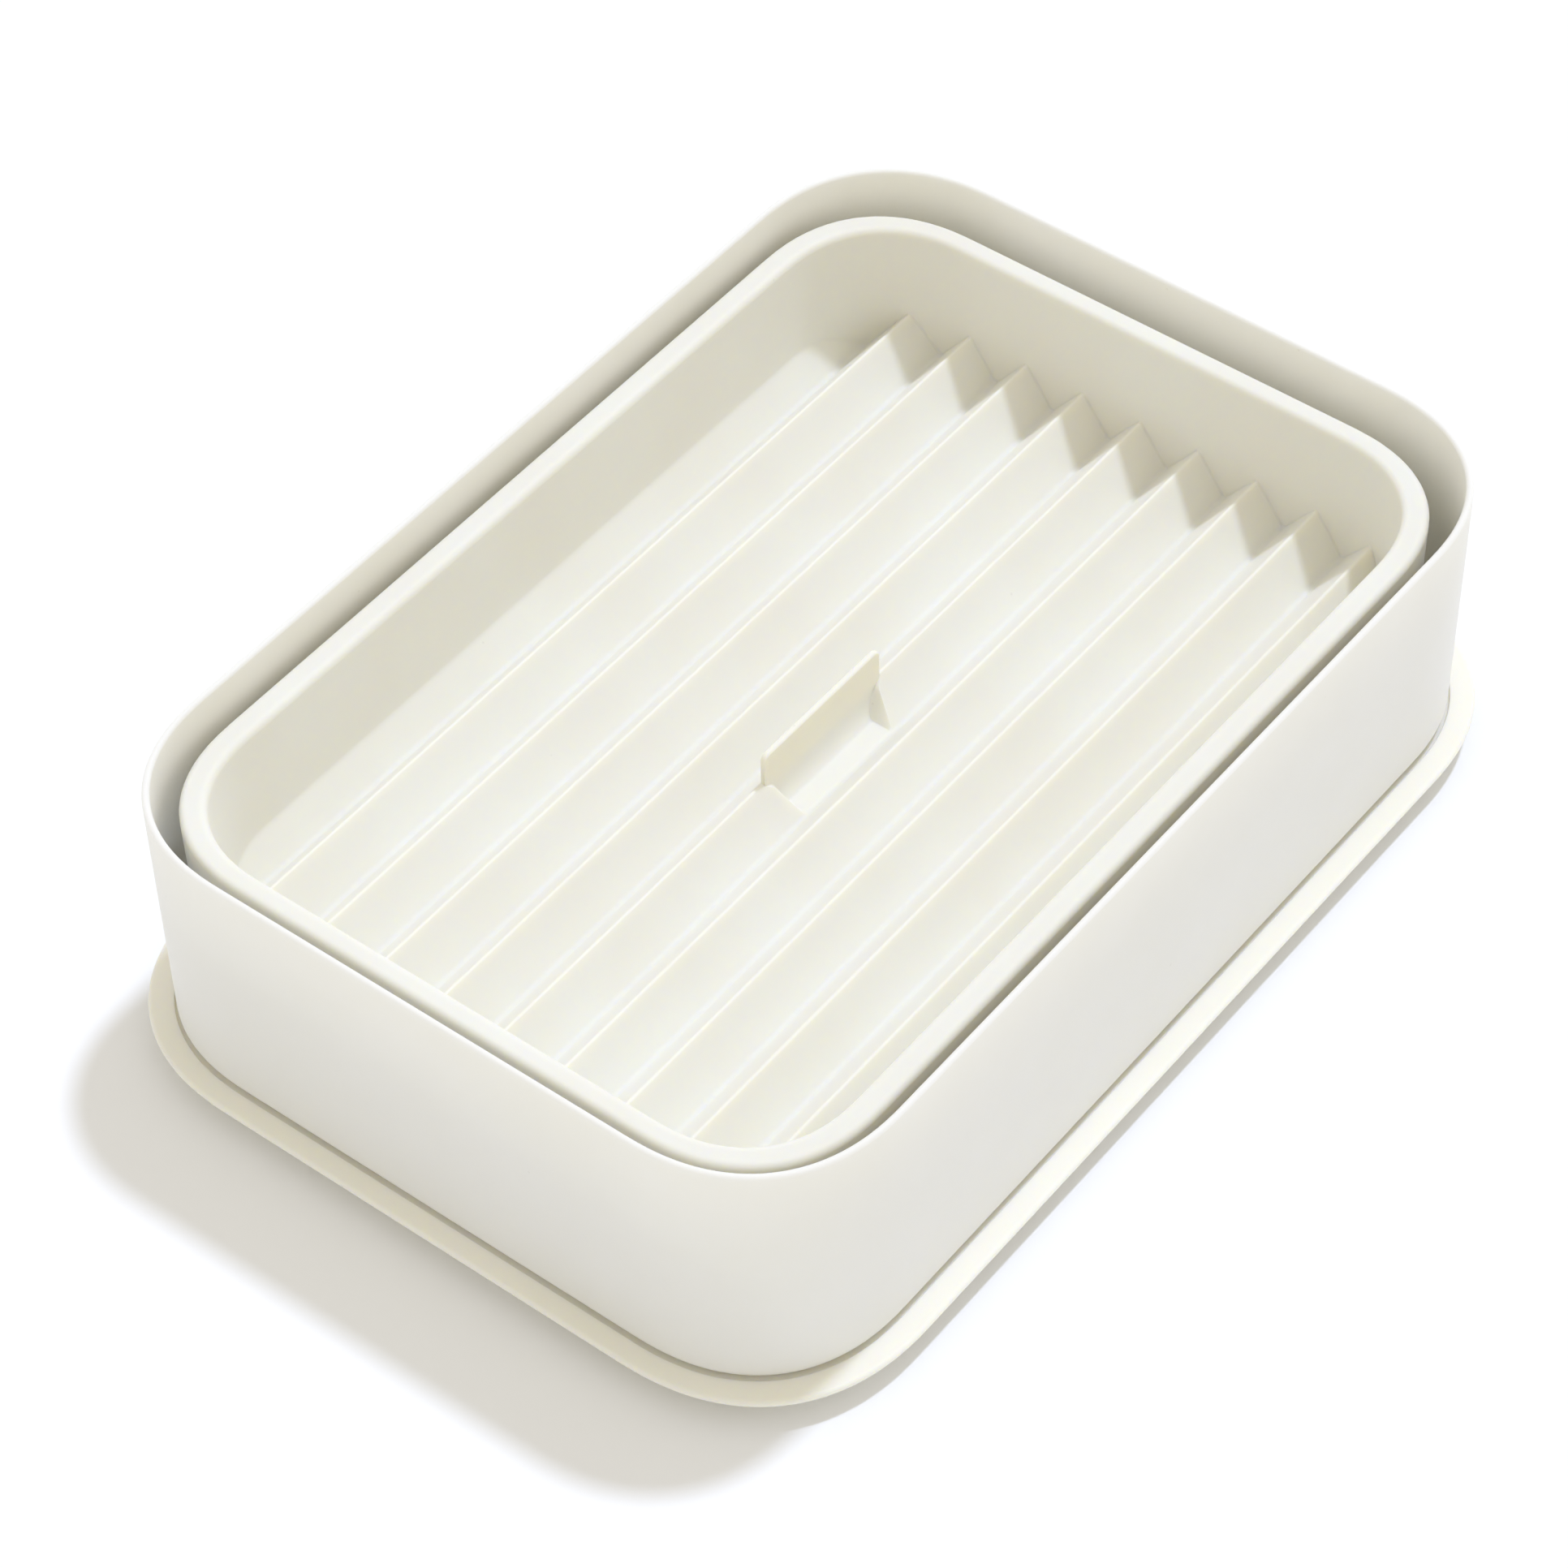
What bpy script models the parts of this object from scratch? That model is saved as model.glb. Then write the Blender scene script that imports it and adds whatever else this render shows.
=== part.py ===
"""Drawer insert: a pleated jewellery tray in a rounded storage bin, which stands on its own lid.

Three mouldings, one inside the other. The long side and the ridges of the tray run along Y.
The origin is on the table, at the middle of the lid. Lengths are in metres.
"""

import math

import bmesh
import bpy

# Corners. Every outline is a rectangle whose corners follow |x|^power + |y|^power = radius^power.
CORNER_POWER = 2.32
CORNER_STEPS = 12
ROUND_STEPS = 4

# Gap left where one moulding stands on another
SEAT_GAP = 0.0003

# Bin, measured over its rim
BIN_LENGTH = 0.3240
BIN_WIDTH = 0.2242
BIN_HEIGHT = 0.0800
BIN_CORNER = 0.0482
BIN_WALL = 0.0020
BIN_FLOOR = 0.0020
BIN_DRAFT = math.radians(0.4)
BIN_FOOT_ROUND = 0.0030
BIN_INNER_ROUND = 0.0025

# Lid, used here as a base
LID_SIDE_OVERHANG = 0.0068
LID_END_OVERHANG = 0.0064
LID_THICKNESS = 0.0020
LID_RECESS = 0.0010
LID_FOOT_CLEARANCE = 0.0005
LID_PLUG_DEPTH = 0.0060
LID_PLUG_WALL = 0.0018
LID_PLUG_CLEARANCE = 0.0006

# Tray, fitted to the inside of the bin's rim
TRAY_SIDE_CLEARANCE = 0.00545
TRAY_END_CLEARANCE = 0.0075
TRAY_CORNER_CLEARANCE = 0.0045
TRAY_BELOW_RIM = 0.0102
TRAY_WALL = 0.0018
TRAY_SIDE_DRAFT = math.radians(3.8)
TRAY_END_DRAFT = math.radians(1.2)
RIM_OUTER_ROUND = 0.0012
RIM_INNER_ROUND = 0.0020
RIM_SIDE_CHANNEL = 0.0032
RIM_END_CHANNEL = 0.0023
SKIRT_FOOT = 0.0012
SKIRT_DRAFT = math.radians(1.0)
WALL_BELOW_FLOOR = 0.0010

# Where the loose tray happens to stand in its clearance
TRAY_SIDE_SHIFT_SHARE = -0.385
TRAY_END_SHIFT_SHARE = 0.04

# Pleated floor of the tray
RIDGES = 9
CREST_DEPTH = 0.0298
PLEAT_SLOPE = math.radians(52.0)
PLEAT_INTO_WALL = 0.0022
CREST_ROUND = 0.0007
VALLEY_ROUND = 0.0013

# Lift tab on the middle ridge, and the finger pocket beside it
TAB_THICKNESS = 0.0018
TAB_HEIGHT = 0.0100
TAB_CORNER = 0.0026
POCKET_LENGTH = 0.0368
POCKET_LEAN = math.radians(30.0)
POCKET_FLOOR_STEP = 0.0003

# How far a cutter runs past what it cuts, and how close two corners of one outline may lie
OVERRUN = 0.0040
MERGE_DISTANCE = 0.000003

# Edges that turn more than this stay crisp when a part is shaded smooth
CRISP_ANGLE = math.radians(30.0)

PARTS_COLLECTION = "drawer_insert"
CUTTERS_COLLECTION = "cutters"


def slope_rise(length, angle):
    """How far a drafted wall steps sideways over a length."""
    return length * math.tan(angle)


def grown(outline, side, end=None):
    """An outline moved outwards, by one distance at its long sides and another at its ends."""
    width, length, corner = outline
    if end is None:
        end = side
    return width + 2 * side, length + 2 * end, corner + (side + end) / 2


# Outlines, each as width, length and corner radius
BIN_RIM = (BIN_WIDTH, BIN_LENGTH, BIN_CORNER)
BIN_FOOT = grown(BIN_RIM, -slope_rise(BIN_HEIGHT, BIN_DRAFT))
BIN_MOUTH = grown(BIN_RIM, -BIN_WALL)
LID_EDGE = grown(BIN_RIM, LID_SIDE_OVERHANG, LID_END_OVERHANG)
LID_RECESS_EDGE = grown(BIN_FOOT, LID_FOOT_CLEARANCE)
LID_PLUG = grown(BIN_MOUTH, -LID_PLUG_CLEARANCE)

# Heights above the table
LID_PANEL_UNDERSIDE = LID_PLUG_DEPTH
LID_PANEL_TOP = LID_PANEL_UNDERSIDE + LID_THICKNESS
LID_FLANGE_TOP = LID_PANEL_TOP + LID_RECESS
LID_FLANGE_UNDERSIDE = LID_FLANGE_TOP - LID_THICKNESS
BIN_SEAT = LID_PANEL_TOP + SEAT_GAP
TRAY_SEAT = BIN_SEAT + BIN_FLOOR + SEAT_GAP

# Tray sizes that follow from the bin, with heights above the tray's own foot
TRAY_HEIGHT = BIN_HEIGHT - BIN_FLOOR - SEAT_GAP - TRAY_BELOW_RIM
SKIRT_STEP = slope_rise(TRAY_HEIGHT, SKIRT_DRAFT)
SKIRT_INSET = SKIRT_FOOT + SKIRT_STEP
RIM_SIDE_WIDTH = SKIRT_INSET + RIM_SIDE_CHANNEL + TRAY_WALL
RIM_END_WIDTH = SKIRT_INSET + RIM_END_CHANNEL + TRAY_WALL
TRAY_RIM = (
    BIN_MOUTH[0] - 2 * TRAY_SIDE_CLEARANCE,
    BIN_MOUTH[1] - 2 * TRAY_END_CLEARANCE,
    BIN_MOUTH[2] - TRAY_CORNER_CLEARANCE,
)
TRAY_MOUTH = grown(TRAY_RIM, -RIM_SIDE_WIDTH, -RIM_END_WIDTH)
TRAY_SHIFT = (TRAY_SIDE_SHIFT_SHARE * TRAY_SIDE_CLEARANCE, TRAY_END_SHIFT_SHARE * TRAY_END_CLEARANCE)

# Pleats
CAVITY_WIDTH = TRAY_MOUTH[0] - 2 * slope_rise(CREST_DEPTH, TRAY_SIDE_DRAFT)
PITCH = (CAVITY_WIDTH + 2 * PLEAT_INTO_WALL) / (RIDGES + 1)
SHARP_DEPTH = PITCH / 2 * math.tan(PLEAT_SLOPE)
TIP_CUT = 1 / math.cos(PLEAT_SLOPE) - 1
CREST_TOP = TRAY_HEIGHT - CREST_DEPTH
SHARP_CREST = CREST_TOP + CREST_ROUND * TIP_CUT
SHARP_VALLEY = SHARP_CREST - SHARP_DEPTH
VALLEY_BOTTOM = SHARP_VALLEY + VALLEY_ROUND * TIP_CUT
SHEET_DROP = TRAY_WALL / math.cos(PLEAT_SLOPE)
WALL_END = VALLEY_BOTTOM - TRAY_WALL - WALL_BELOW_FLOOR
POCKET_FLOOR = VALLEY_BOTTOM + POCKET_FLOOR_STEP
TAB_WIDTH = POCKET_LENGTH + 2 * slope_rise(CREST_TOP - POCKET_FLOOR, POCKET_LEAN)


def cavity(height, outwards=0.0):
    """The tray's inner outline at a height above its foot, narrowed by the two drafts."""
    depth = TRAY_HEIGHT - height
    side = outwards - slope_rise(depth, TRAY_SIDE_DRAFT)
    end = outwards - slope_rise(depth, TRAY_END_DRAFT)
    return grown(TRAY_MOUTH, side, end)


def ridge_x(index):
    """Where a ridge runs, counted from the tray's -X side. Whole numbers are crests, halves are valleys."""
    return (index - (RIDGES - 1) / 2) * PITCH


TAB_RIDGE = ridge_x(RIDGES // 2)
TAB_VALLEY = ridge_x(RIDGES // 2 + 0.5)


def fresh_scene():
    """Empties the scene and makes the two collections."""
    for item in list(bpy.data.objects):
        bpy.data.objects.remove(item, do_unlink=True)
    for name in (PARTS_COLLECTION, CUTTERS_COLLECTION):
        collection = bpy.data.collections.new(name)
        bpy.context.scene.collection.children.link(collection)


def plastic(name, color, roughness):
    """A plain satin plastic."""
    material = bpy.data.materials.new(name)
    material.use_nodes = True
    shader = material.node_tree.nodes["Principled BSDF"]
    shader.inputs["Base Color"].default_value = (*color, 1.0)
    shader.inputs["Roughness"].default_value = roughness
    shader.inputs["Metallic"].default_value = 0.0
    return material


def put_in(item, collection):
    """Puts an object in one of the two collections; cutters are left out of renders."""
    bpy.data.collections[collection].objects.link(item)
    if collection == CUTTERS_COLLECTION:
        item.hide_render = True
        item.display_type = "WIRE"


def outline_points(outline, height):
    """Points once round an outline, counter-clockwise, with each corner worked out from its power law."""
    width, length, corner = outline
    across = width / 2 - corner
    along = length / 2 - corner
    share = 2 / CORNER_POWER
    points = []
    for turn, (side, end) in enumerate(((1, 1), (-1, 1), (-1, -1), (1, -1))):
        for step in range(CORNER_STEPS + 1):
            angle = math.pi / 2 * step / CORNER_STEPS
            if turn % 2:
                angle = math.pi / 2 - angle
            x = across + corner * max(math.cos(angle), 0.0) ** share
            y = along + corner * max(math.sin(angle), 0.0) ** share
            points.append((side * x, end * y, height))
    return points


def edge_round(center, height, radius, start, end):
    """Rings of a rounded edge round an outline through its center. Angles, in degrees, go up from level."""
    rings = []
    steps = ROUND_STEPS * abs(end - start) // 90
    for step in range(steps + 1):
        angle = math.radians(start + (end - start) * step / steps)
        rings.append((grown(center, radius * math.cos(angle)), height + radius * math.sin(angle)))
    return rings


def join_rings(shape, lower, upper):
    """A band of four-sided faces between two rings."""
    for a, b, c, d in zip(lower, lower[1:] + lower[:1], upper[1:] + upper[:1], upper):
        shape.faces.new((a, b, c, d))


def loft(name, rings, collection, hollow=False):
    """A moulding as a band through its rings, up its outside first. Its ends are capped, or joined."""
    shape = bmesh.new()
    loops = [[shape.verts.new(point) for point in outline_points(*ring)] for ring in rings]
    for lower, upper in zip(loops, loops[1:]):
        join_rings(shape, lower, upper)
    if hollow:
        join_rings(shape, loops[-1], loops[0])
    else:
        shape.faces.new(loops[0][::-1])
        shape.faces.new(loops[-1])
    mesh = bpy.data.meshes.new(name)
    shape.to_mesh(mesh)
    shape.free()
    item = bpy.data.objects.new(name, mesh)
    put_in(item, collection)
    return item


def prism(name, points, half_length, rotation):
    """A flat outline with thickness, turned to stand up, as a closed mesh among the cutters."""
    curve = bpy.data.curves.new(name, "CURVE")
    curve.dimensions = "2D"
    curve.fill_mode = "BOTH"
    curve.extrude = half_length
    spline = curve.splines.new("POLY")
    spline.points.add(len(points) - 1)
    for point, (x, y) in zip(spline.points, points):
        point.co = (x, y, 0.0, 1.0)
    spline.use_cyclic_u = True
    guide = bpy.data.objects.new(name + "_curve", curve)
    guide.rotation_euler = rotation
    bpy.context.scene.collection.objects.link(guide)
    graph = bpy.context.evaluated_depsgraph_get()
    mesh = bpy.data.meshes.new_from_object(guide.evaluated_get(graph))
    shape = bmesh.new()
    shape.from_mesh(mesh)
    bmesh.ops.remove_doubles(shape, verts=shape.verts, dist=MERGE_DISTANCE)
    bmesh.ops.recalc_face_normals(shape, faces=shape.faces)
    shape.to_mesh(mesh)
    shape.free()
    item = bpy.data.objects.new(name, mesh)
    item.matrix_world = guide.matrix_world
    bpy.data.objects.remove(guide)
    put_in(item, CUTTERS_COLLECTION)
    return item


def combine(item, other, operation):
    """A Boolean that stays on its object."""
    modifier = item.modifiers.new(f"{operation.lower()} {other.name}", "BOOLEAN")
    modifier.operation = operation
    modifier.solver = "EXACT"
    modifier.object = other


def rounded_line(points, radii, steps):
    """A line of straight runs whose inner corners become arcs that touch both runs."""
    line = [points[0]]
    for before, corner, after, radius, count in zip(points, points[1:], points[2:], radii, steps):
        line.extend(corner_arc(before, corner, after, radius, count))
    line.append(points[-1])
    return line


def corner_arc(before, corner, after, radius, steps):
    """The arc of a radius that touches the two straight runs meeting at a corner."""
    if radius == 0:
        return [corner]
    to_before = math.atan2(before[1] - corner[1], before[0] - corner[0])
    to_after = math.atan2(after[1] - corner[1], after[0] - corner[0])
    turn = (to_after - to_before + math.pi) % (2 * math.pi) - math.pi
    middle = to_before + turn / 2
    reach = radius / math.sin(abs(turn) / 2)
    center = (corner[0] + reach * math.cos(middle), corner[1] + reach * math.sin(middle))
    sweep = math.copysign(math.pi - abs(turn), -turn)
    first = middle + math.pi - sweep / 2
    angles = [first + sweep * step / steps for step in range(steps + 1)]
    return [(center[0] + radius * math.cos(a), center[1] + radius * math.sin(a)) for a in angles]


def pleat_line(drop, crest_round, valley_round):
    """The zigzag across the tray, lowered by drop, running past both side walls."""
    points = []
    for index in range(-2, RIDGES + 2):
        points.append((ridge_x(index), SHARP_CREST - drop))
        points.append((ridge_x(index + 0.5), SHARP_VALLEY - drop))
    inner = len(points) - 2
    radii = [valley_round, crest_round] * (inner // 2)
    steps = [ROUND_STEPS, ROUND_STEPS // 2] * (inner // 2)
    return rounded_line(points, radii, steps)


def keystone(outwards, top):
    """The pocket seen from its side: a flat floor between two leaning ends, grown by a wall."""
    floor = POCKET_FLOOR - outwards
    lean = math.tan(POCKET_LEAN)
    half_floor = POCKET_LENGTH / 2 + outwards / math.cos(POCKET_LEAN) - outwards * lean
    half_top = half_floor + (top - floor) * lean
    return [(-half_floor, floor), (half_floor, floor), (half_top, top), (-half_top, top)]


def tab_outline():
    """The lift tab seen from its side: as wide as the pocket's mouth, its foot inside the pocket's walls."""
    foot = keystone(TRAY_WALL / 2, CREST_TOP)
    half_foot, floor = foot[1]
    half = TAB_WIDTH / 2
    meeting = floor + (half - half_foot) / math.tan(POCKET_LEAN)
    top = CREST_TOP + TAB_HEIGHT
    right = [(half_foot, floor), (half, meeting), (half, top)]
    corners = right + [(-across, height) for across, height in reversed(right)]
    return rounded_line(corners, [0, TAB_CORNER, TAB_CORNER, 0], [ROUND_STEPS] * 4)


def build_lid():
    """The lid: a flat flange with a soft lip, a sunk panel for the bin's foot, and a plug rim below."""
    lip = LID_THICKNESS / 2
    lip_center = grown(LID_EDGE, -lip)
    lip_height = LID_FLANGE_UNDERSIDE + lip
    plug_inside = grown(LID_PLUG, -LID_PLUG_WALL)
    below_step = grown(LID_RECESS_EDGE, LID_THICKNESS)
    rings = [
        (plug_inside, LID_PANEL_UNDERSIDE),
        (plug_inside, 0.0),
        (LID_PLUG, 0.0),
        (LID_PLUG, LID_PANEL_UNDERSIDE),
        (below_step, LID_PANEL_UNDERSIDE),
        (below_step, LID_FLANGE_UNDERSIDE),
        *edge_round(lip_center, lip_height, lip, -90, 90),
        (LID_RECESS_EDGE, LID_FLANGE_TOP),
        (LID_RECESS_EDGE, LID_PANEL_TOP),
    ]
    return loft("base_lid", rings, PARTS_COLLECTION)


def build_bin():
    """The bin: one wall thickness all over, a rounded foot and a fully rounded rim."""
    edge = BIN_WALL / 2
    inner_foot = grown(BIN_MOUTH, -slope_rise(BIN_HEIGHT - BIN_FLOOR, BIN_DRAFT))
    floor_center = grown(inner_foot, -BIN_INNER_ROUND)
    rings = [
        *edge_round(grown(BIN_FOOT, -BIN_FOOT_ROUND), BIN_FOOT_ROUND, BIN_FOOT_ROUND, -90, 0),
        *edge_round(grown(BIN_RIM, -edge), BIN_HEIGHT - edge, edge, 0, 180),
        *edge_round(floor_center, BIN_FLOOR + BIN_INNER_ROUND, BIN_INNER_ROUND, 0, -90),
    ]
    item = loft("bin", rings, PARTS_COLLECTION)
    item.location = (0.0, 0.0, BIN_SEAT)
    return item


def tray_frame():
    """The tray's skirt, rim and inner wall: one profile carried round the outline and closed on itself."""
    skirt_inside = grown(TRAY_RIM, -SKIRT_INSET)
    channel_top = TRAY_HEIGHT - TRAY_WALL
    outer_center = grown(TRAY_RIM, -RIM_OUTER_ROUND)
    inner_center = grown(TRAY_MOUTH, RIM_INNER_ROUND)
    rings = [
        (grown(TRAY_RIM, -SKIRT_STEP), 0.0),
        *edge_round(outer_center, TRAY_HEIGHT - RIM_OUTER_ROUND, RIM_OUTER_ROUND, 0, 90),
        *edge_round(inner_center, TRAY_HEIGHT - RIM_INNER_ROUND, RIM_INNER_ROUND, 90, 180),
        (cavity(WALL_END), WALL_END),
        (cavity(WALL_END, TRAY_WALL), WALL_END),
        (cavity(channel_top, TRAY_WALL), channel_top),
        (skirt_inside, channel_top),
        (skirt_inside, 0.0),
    ]
    return loft("insert_tray", rings, PARTS_COLLECTION, hollow=True)


def pleated_floor():
    """The pleated sheet: a block inside the walls, with the air above and the hollow below cut away."""
    bottom = SHARP_VALLEY - SHEET_DROP - OVERRUN
    top = SHARP_CREST + OVERRUN
    half_wall = TRAY_WALL / 2
    block = loft("pleated_floor", [(cavity(z, half_wall), z) for z in (bottom, top)], CUTTERS_COLLECTION)
    half_length = TRAY_RIM[1] / 2 + OVERRUN
    above = pleat_line(0.0, CREST_ROUND, VALLEY_ROUND)
    below = pleat_line(SHEET_DROP, 0.0, VALLEY_ROUND + TRAY_WALL)
    above += [(above[-1][0], top + OVERRUN), (above[0][0], top + OVERRUN)]
    below += [(below[-1][0], bottom - OVERRUN), (below[0][0], bottom - OVERRUN)]
    upright = (math.pi / 2, 0.0, 0.0)
    air = prism("air_above_pleats", above, half_length, upright)
    hollow = prism("hollow_below_pleats", below, half_length, upright)
    combine(hollow, pocket_cutter("pocket_walls", TRAY_WALL, TAB_RIDGE - TAB_THICKNESS / 4), "DIFFERENCE")
    combine(block, air, "DIFFERENCE")
    combine(block, hollow, "DIFFERENCE")
    combine(block, pocket_cutter("finger_pocket", 0.0, TAB_RIDGE), "DIFFERENCE")
    return block


def pocket_cutter(name, outwards, start):
    """The finger pocket as a solid, from the tab's ridge to the valley beside it, grown by a wall."""
    points = keystone(outwards, SHARP_CREST + OVERRUN)
    half = (TAB_VALLEY - start) / 2
    item = prism(name, points, half, (math.pi / 2, 0.0, math.pi / 2))
    item.location.x = start + half
    return item


def build_tray():
    """The tray: frame, pleated floor and lift tab joined into one moulding, standing loose in the bin."""
    tray = tray_frame()
    floor = pleated_floor()
    tab = prism("lift_tab", tab_outline(), TAB_THICKNESS / 2, (math.pi / 2, 0.0, math.pi / 2))
    tab.location.x = TAB_RIDGE
    combine(floor, tab, "UNION")
    combine(tray, floor, "UNION")
    for item in bpy.data.collections[CUTTERS_COLLECTION].objects:
        item.parent = tray
    tray.location = (*TRAY_SHIFT, TRAY_SEAT)
    return tray


def finish(item, material):
    """Gives a part its material and smooth shading that keeps the real edges."""
    item.data.materials.clear()
    item.data.materials.append(material)
    item.data.shade_smooth()
    item.data.set_sharp_from_angle(angle=CRISP_ANGLE)


def main():
    fresh_scene()
    finish(build_lid(), plastic("lid_plastic", (0.80, 0.79, 0.75), 0.45))
    finish(build_bin(), plastic("bin_plastic", (0.82, 0.81, 0.78), 0.45))
    finish(build_tray(), plastic("tray_plastic", (0.84, 0.83, 0.80), 0.42))
    bpy.context.view_layer.update()


main()
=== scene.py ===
# %% [markdown]
# A pleated drawer insert, standing in a rounded storage bin on that bin's lid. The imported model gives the
# fixed frame: where each moulding is, what it rides on and how large it is. This file only dresses that
# frame. It replaces the faceted mouldings with smooth ones of the same size, worked out from formulas, and
# gives each its plastic.

# %% Load the frame
import math

import bpy
import numpy as np
from mathutils import Matrix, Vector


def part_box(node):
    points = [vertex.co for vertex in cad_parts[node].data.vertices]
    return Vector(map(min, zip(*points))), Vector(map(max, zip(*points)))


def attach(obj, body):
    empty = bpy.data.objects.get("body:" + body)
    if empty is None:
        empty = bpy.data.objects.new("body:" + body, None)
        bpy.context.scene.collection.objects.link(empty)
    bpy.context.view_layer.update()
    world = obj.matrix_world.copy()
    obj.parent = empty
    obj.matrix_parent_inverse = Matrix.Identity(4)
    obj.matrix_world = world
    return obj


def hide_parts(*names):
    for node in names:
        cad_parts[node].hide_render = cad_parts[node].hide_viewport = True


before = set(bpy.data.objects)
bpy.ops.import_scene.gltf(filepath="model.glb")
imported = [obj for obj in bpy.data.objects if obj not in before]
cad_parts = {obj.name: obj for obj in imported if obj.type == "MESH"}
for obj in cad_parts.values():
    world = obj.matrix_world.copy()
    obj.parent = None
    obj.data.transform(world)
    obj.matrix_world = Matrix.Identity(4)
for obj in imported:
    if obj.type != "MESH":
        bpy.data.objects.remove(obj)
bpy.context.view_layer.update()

# %% [markdown]
# The frame's own boxes give every overall size, so nothing is typed twice. What a box can't tell, such as a
# wall or a draft, is written here once: lengths in metres, and angles in degrees that are turned into
# radians on the spot.

# %% Sizes
LID_LOW, LID_HIGH = np.array(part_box("base_lid"))
BIN_LOW, BIN_HIGH = np.array(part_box("bin"))
TRAY_LOW, TRAY_HIGH = np.array(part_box("insert_tray"))
CORNER_POWER = 2.32

BIN_CORNER = 0.0482
BIN_WALL = 0.0020
BIN_DRAFT = math.radians(0.4)
BIN_FOOT_ROUND = 0.0030
BIN_INNER_ROUND = 0.0025

LID_CORNER = 0.0548
LID_THICKNESS = 0.0020
LID_RECESS = 0.0010
LID_FOOT_CLEARANCE = 0.0005
LID_PLUG_WALL = 0.0018
LID_PLUG_CLEARANCE = 0.0006

TRAY_CORNER = 0.0417
TRAY_WALL = 0.0018
TRAY_SIDE_DRAFT = math.radians(3.8)
TRAY_END_DRAFT = math.radians(1.2)
RIM_SIDE_WIDTH = 0.00738
RIM_END_WIDTH = 0.00648
RIM_OUTER_ROUND = 0.0018
RIM_INNER_ROUND = 0.0020
SKIRT_FOOT = 0.0012
SKIRT_DRAFT = math.radians(1.0)

bin_width, bin_length, bin_height = BIN_HIGH - BIN_LOW
lid_width, lid_length, lid_height = LID_HIGH - LID_LOW
tray_width, tray_length, tray_height = TRAY_HIGH - TRAY_LOW
print("bin in mm", np.round(1000 * (BIN_HIGH - BIN_LOW), 1))
print("tray in mm", np.round(1000 * (TRAY_HIGH - TRAY_LOW), 1))

# %% [markdown]
# The camera looks down on the near corner from the tray's -Y and +X sides, through a long lens. It could be
# typed as a matrix, but nobody can read one. So its direction is kept as three angles, and its place as a
# distance along that direction and two small steps sideways and up from the middle of the bin's mouth, like
# a tripod's settings.

# %% Camera
CAMERA_AZIMUTH = math.radians(38.83)
CAMERA_ELEVATION = math.radians(47.367)
CAMERA_ROLL = math.radians(-1.38)
CAMERA_DISTANCE = 1.28491
CAMERA_STEP_RIGHT = -0.01046
CAMERA_STEP_UP = -0.04071
CAMERA_LENS_MM = 115.24
SENSOR_MM = 36.0


def camera_axes(azimuth, elevation, roll):
    """The camera's right, up and back. Back is -Y turned by the azimuth and raised by the elevation, and
    the roll turns the other two about it."""
    level = np.array([math.sin(azimuth), -math.cos(azimuth), 0.0])
    back = level * math.cos(elevation) + np.array([0.0, 0.0, math.sin(elevation)])
    right = np.array([math.cos(azimuth), math.sin(azimuth), 0.0])
    up = np.cross(back, right)
    turned_right = right * math.cos(roll) + up * math.sin(roll)
    turned_up = up * math.cos(roll) - right * math.sin(roll)
    return turned_right, turned_up, back


def add_camera():
    """Places the camera and makes it the scene's own."""
    right, up, back = camera_axes(CAMERA_AZIMUTH, CAMERA_ELEVATION, CAMERA_ROLL)
    mouth = np.array([0.0, 0.0, BIN_HIGH[2]])
    place = mouth + back * CAMERA_DISTANCE + right * CAMERA_STEP_RIGHT + up * CAMERA_STEP_UP
    data = bpy.data.cameras.new("camera")
    data.lens = CAMERA_LENS_MM
    data.sensor_width = SENSOR_MM
    camera = bpy.data.objects.new("camera", data)
    rows = np.column_stack([right, up, back, place])
    camera.matrix_world = Matrix([*rows.tolist(), [0, 0, 0, 1]])
    bpy.context.scene.collection.objects.link(camera)
    bpy.context.scene.camera = camera
    return place


print("camera at", np.round(add_camera(), 3))

# %% [markdown]
# Every outline here is a rounded rectangle whose corners are a little squarer than a circle. A bevelled box
# would give true circles, so the corners have a formula of their own. A place on such an outline is four
# numbers: the share of the straight run across, the share of the straight run along, and the corner's own x
# and y, which obey |x|^n + |y|^n = 1. The same place can then be found on a larger or smaller outline,
# which is how one profile is carried round the whole piece.

# %% Outlines
CORNER_COLUMNS = 30
SIDE_COLUMNS = 14


def grown(outline, side, end=None):
    """An outline (width, length, corner radius) moved out by a distance at its sides and one at its ends."""
    width, length, corner = outline
    end = side if end is None else end
    return width + 2 * side, length + 2 * end, corner + (side + end) / 2


def corner_height(across):
    """The corner's y for its x: the n-th root of 1 - x^n."""
    return np.clip(1 - np.clip(across, 0, 1) ** CORNER_POWER, 0, 1) ** (1 / CORNER_POWER)


def places_round():
    """Places once round an outline, counter-clockwise from the +Y end of the +X side's straight run. A
    corner's x and y are an angle's cosine and sine, each to the power 2 / n."""
    angle = np.linspace(0, math.pi / 2, CORNER_COLUMNS + 1)
    arc_x = np.clip(np.cos(angle), 0, 1) ** (2 / CORNER_POWER)
    arc_y = np.clip(np.sin(angle), 0, 1) ** (2 / CORNER_POWER)
    run = np.linspace(1, -1, SIDE_COLUMNS + 1)[1:-1]
    ones, none = np.ones_like(arc_x), np.zeros_like(run)
    flat = np.ones_like(run)
    quarter_turns = [
        (ones, ones, arc_x, arc_y), (run, flat, none, flat),
        (-ones, ones, -arc_x[::-1], arc_y[::-1]), (-flat, run, -flat, none),
        (-ones, -ones, -arc_x, -arc_y), (-run, -flat, none, -flat),
        (ones, -ones, arc_x[::-1], -arc_y[::-1]), (flat, -run, flat, none),
    ]
    return np.concatenate([np.stack(turn) for turn in quarter_turns], axis=1)


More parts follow.
